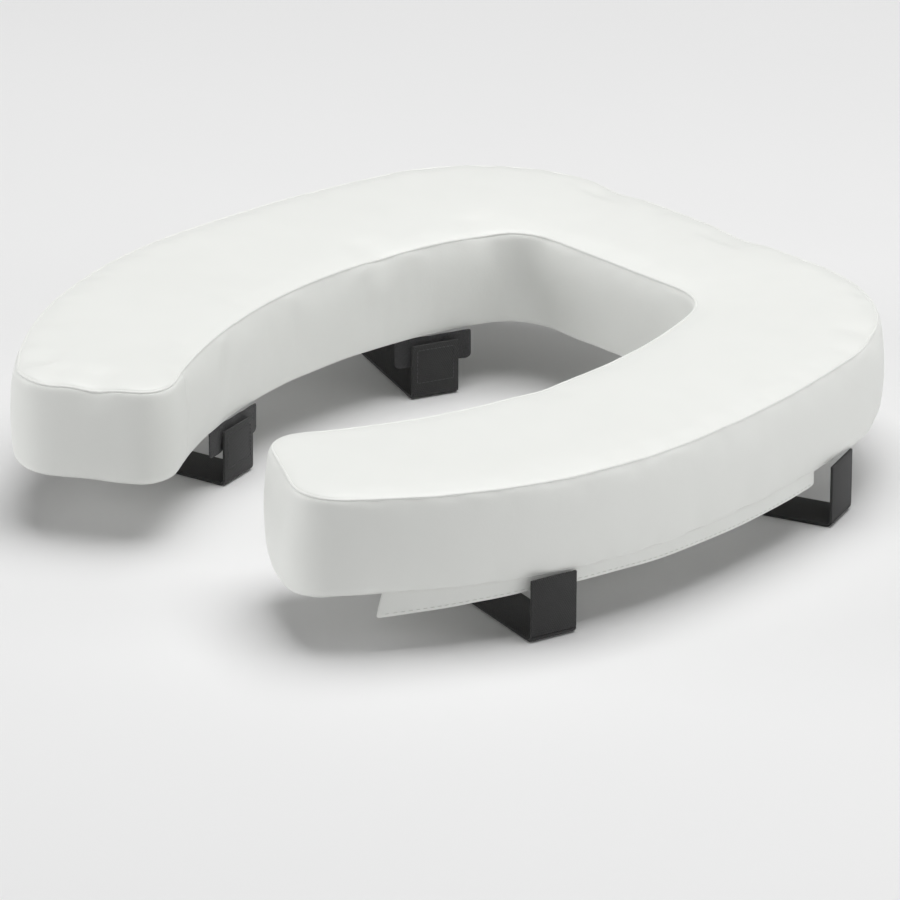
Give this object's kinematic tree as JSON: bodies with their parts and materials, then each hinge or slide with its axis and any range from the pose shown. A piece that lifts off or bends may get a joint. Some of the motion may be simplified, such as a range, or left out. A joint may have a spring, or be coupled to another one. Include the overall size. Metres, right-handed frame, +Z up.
{
  "type": "padded raised toilet seat",
  "caption": "Soft open-front horseshoe riser cushion for a toilet seat, covered in off-white coated fabric, held on the seat ring by dark hook-and-loop straps.",
  "frame": {"origin": "midway along and across the cushion, on the plane of its underside, where it rests on the toilet's own seat ring", "axes": "+X to the user's left when seated (the cushion's right side seen from the front gap looking back), +Y from the open front to the closed back, +Z up"},
  "size_m": [0.362, 0.381, 0.082],
  "materials": {
    "cover": "satin",
    "cover_backing": "satin",
    "foam": "matte",
    "webbing": "matte",
    "hook": "matte",
    "loop": "matte",
    "thread": "satin",
    "thread_dark": "satin"
  },
  "bodies": {
    "cushion": {"foam_core": "foam", "cover_top_panel": "cover", "cover_bottom_panel": "cover_backing", "cover_outer_side_strip": "cover", "cover_inner_side_strip": "cover", "top_outer_seam": "cover", "top_inner_seam": "cover", "bottom_outer_seam": "cover", "bottom_inner_seam": "cover", "hem_flap_right": "cover", "hem_flap_left": "cover", "hem_stitching_right": "thread", "hem_stitching_left": "thread", "front_right_strap_root": "webbing", "front_right_strap_loop_flap": "loop", "front_left_strap_root": "webbing", "front_left_strap_loop_flap": "loop", "rear_right_strap_root": "webbing", "rear_right_strap_loop_flap": "loop", "rear_left_strap_root": "webbing", "rear_left_strap_loop_flap": "loop"},
    "front_right_strap_drop": {"front_right_strap_side_drop": "webbing"},
    "front_right_strap_run": {"front_right_strap_under_run": "webbing"},
    "front_right_strap_end": {"front_right_strap_inner_rise": "webbing", "front_right_strap_hook_patch": "hook", "front_right_strap_hook_stitching": "thread_dark"},
    "front_left_strap_drop": {"front_left_strap_side_drop": "webbing"},
    "front_left_strap_run": {"front_left_strap_under_run": "webbing"},
    "front_left_strap_end": {"front_left_strap_inner_rise": "webbing", "front_left_strap_hook_patch": "hook", "front_left_strap_hook_stitching": "thread_dark"},
    "rear_right_strap_drop": {"rear_right_strap_side_drop": "webbing"},
    "rear_right_strap_run": {"rear_right_strap_under_run": "webbing"},
    "rear_right_strap_end": {"rear_right_strap_inner_rise": "webbing", "rear_right_strap_hook_patch": "hook", "rear_right_strap_hook_stitching": "thread_dark"},
    "rear_left_strap_drop": {"rear_left_strap_side_drop": "webbing"},
    "rear_left_strap_run": {"rear_left_strap_under_run": "webbing"},
    "rear_left_strap_end": {"rear_left_strap_inner_rise": "webbing", "rear_left_strap_hook_patch": "hook", "rear_left_strap_hook_stitching": "thread_dark"}
  },
  "joints": [
    {"name": "front_right_strap_side_fold", "type": "hinge", "parent": "cushion", "child": "front_right_strap_drop", "pos_m": [0.1692, -0.09534, -0.002], "axis": [-0.225, -0.9744, 0], "range_deg": [0, 90]},
    {"name": "front_right_strap_lower_fold", "type": "hinge", "parent": "front_right_strap_drop", "child": "front_right_strap_run", "pos_m": [0.16774, -0.095, -0.0295], "axis": [-0.225, -0.9744, 0], "range_deg": [0, 90]},
    {"name": "front_right_strap_inner_fold", "type": "hinge", "parent": "front_right_strap_run", "child": "front_right_strap_end", "pos_m": [0.07199, -0.0729, -0.0295], "axis": [-0.225, -0.9744, 0], "range_deg": [0, 90]},
    {"name": "front_left_strap_side_fold", "type": "hinge", "parent": "cushion", "child": "front_left_strap_drop", "pos_m": [-0.1692, -0.09534, -0.002], "axis": [-0.225, 0.9744, 0], "range_deg": [0, 90]},
    {"name": "front_left_strap_lower_fold", "type": "hinge", "parent": "front_left_strap_drop", "child": "front_left_strap_run", "pos_m": [-0.16774, -0.095, -0.0295], "axis": [-0.225, 0.9744, 0], "range_deg": [0, 90]},
    {"name": "front_left_strap_inner_fold", "type": "hinge", "parent": "front_left_strap_run", "child": "front_left_strap_end", "pos_m": [-0.07199, -0.0729, -0.0295], "axis": [-0.225, 0.9744, 0], "range_deg": [0, 90]},
    {"name": "rear_right_strap_side_fold", "type": "hinge", "parent": "cushion", "child": "rear_right_strap_drop", "pos_m": [0.16954, 0.10454, -0.002], "axis": [0.3584, -0.9336, 0], "range_deg": [0, 90]},
    {"name": "rear_right_strap_lower_fold", "type": "hinge", "parent": "rear_right_strap_drop", "child": "rear_right_strap_run", "pos_m": [0.16814, 0.104, -0.0295], "axis": [0.3584, -0.9336, 0], "range_deg": [0, 90]},
    {"name": "rear_right_strap_inner_fold", "type": "hinge", "parent": "rear_right_strap_run", "child": "rear_right_strap_end", "pos_m": [0.07674, 0.06892, -0.0295], "axis": [0.3584, -0.9336, 0], "range_deg": [0, 90]},
    {"name": "rear_left_strap_side_fold", "type": "hinge", "parent": "cushion", "child": "rear_left_strap_drop", "pos_m": [-0.16954, 0.10454, -0.002], "axis": [0.3584, 0.9336, 0], "range_deg": [0, 90]},
    {"name": "rear_left_strap_lower_fold", "type": "hinge", "parent": "rear_left_strap_drop", "child": "rear_left_strap_run", "pos_m": [-0.16814, 0.104, -0.0295], "axis": [0.3584, 0.9336, 0], "range_deg": [0, 90]},
    {"name": "rear_left_strap_inner_fold", "type": "hinge", "parent": "rear_left_strap_run", "child": "rear_left_strap_end", "pos_m": [-0.07674, 0.06892, -0.0295], "axis": [0.3584, 0.9336, 0], "range_deg": [0, 90]}
  ]
}
